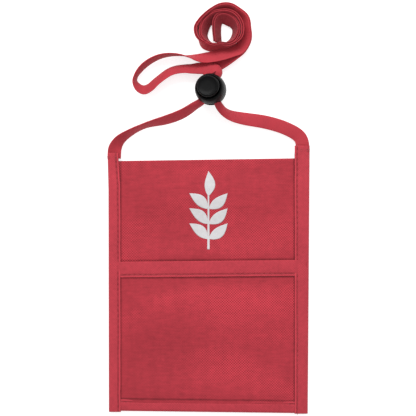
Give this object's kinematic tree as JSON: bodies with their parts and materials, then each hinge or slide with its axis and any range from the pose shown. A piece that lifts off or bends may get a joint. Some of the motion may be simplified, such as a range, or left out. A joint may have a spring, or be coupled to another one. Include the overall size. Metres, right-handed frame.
{
  "type": "lanyard badge holder",
  "caption": "Flat sewn neck pouch with a front slip pocket, a clear badge sleeve on its back, bound edges and a flat neck strap through a spring cord lock.",
  "frame": {"origin": "middle of the pouch's outline, on the surface that its back lies on", "axes": "+X across the pouch to its right side, +Y along the pouch towards the strap, +Z out of its front face"},
  "size_m": [0.1338, 0.2733, 0.023],
  "materials": {
    "pouch_fabric": "red woven polyester, fine twill",
    "binding_tape": "red folded binding tape",
    "sewing_thread": "red polyester thread",
    "strap_webbing": "red flat woven strap",
    "closure_tape": "red hook and loop tape",
    "print_ink": "pale screen print",
    "clear_vinyl": "clear soft vinyl",
    "lock_plastic": "black moulded plastic",
    "spring_steel": "bright spring wire"
  },
  "bodies": {
    "pouch": {"back_panel": "pouch_fabric", "front_panel": "pouch_fabric", "pocket_panel": "pouch_fabric", "badge_window": "clear_vinyl", "hook_strip": "closure_tape", "loop_strip": "closure_tape", "left_binding": "binding_tape", "right_binding": "binding_tape", "bottom_binding": "binding_tape", "mouth_binding": "binding_tape", "badge_window_binding": "binding_tape", "seam_left": "sewing_thread", "seam_right": "sewing_thread", "seam_bottom": "sewing_thread", "seam_mouth": "sewing_thread", "tack_left": "sewing_thread", "tack_right": "sewing_thread", "printed_sprig": "print_ink", "strap_left_run": "strap_webbing", "strap_right_run": "strap_webbing"},
    "cord_lock": {"lock_body": "lock_plastic", "lock_spring": "spring_steel", "strap_strand_left": "strap_webbing", "strap_strand_right": "strap_webbing", "strap_slack_loop": "strap_webbing", "strap_lead_in": "strap_webbing", "strap_roll": "strap_webbing"},
    "plunger": {"lock_plunger": "lock_plastic"}
  },
  "joints": [
    {"name": "lock_slide", "type": "slide", "parent": "pouch", "child": "cord_lock", "axis": [0, 1, 0], "range_m": [-0.012, 0.012], "deforming": ["strap_left_run", "strap_right_run"]},
    {"name": "plunger_press", "type": "slide", "parent": "cord_lock", "child": "plunger", "axis": [-0.183, 0.183, 0.9659], "range_m": [-0.003, 0], "stiffness_N_per_m": 600, "springref_m": 0.002, "deforming": ["lock_spring"]}
  ]
}
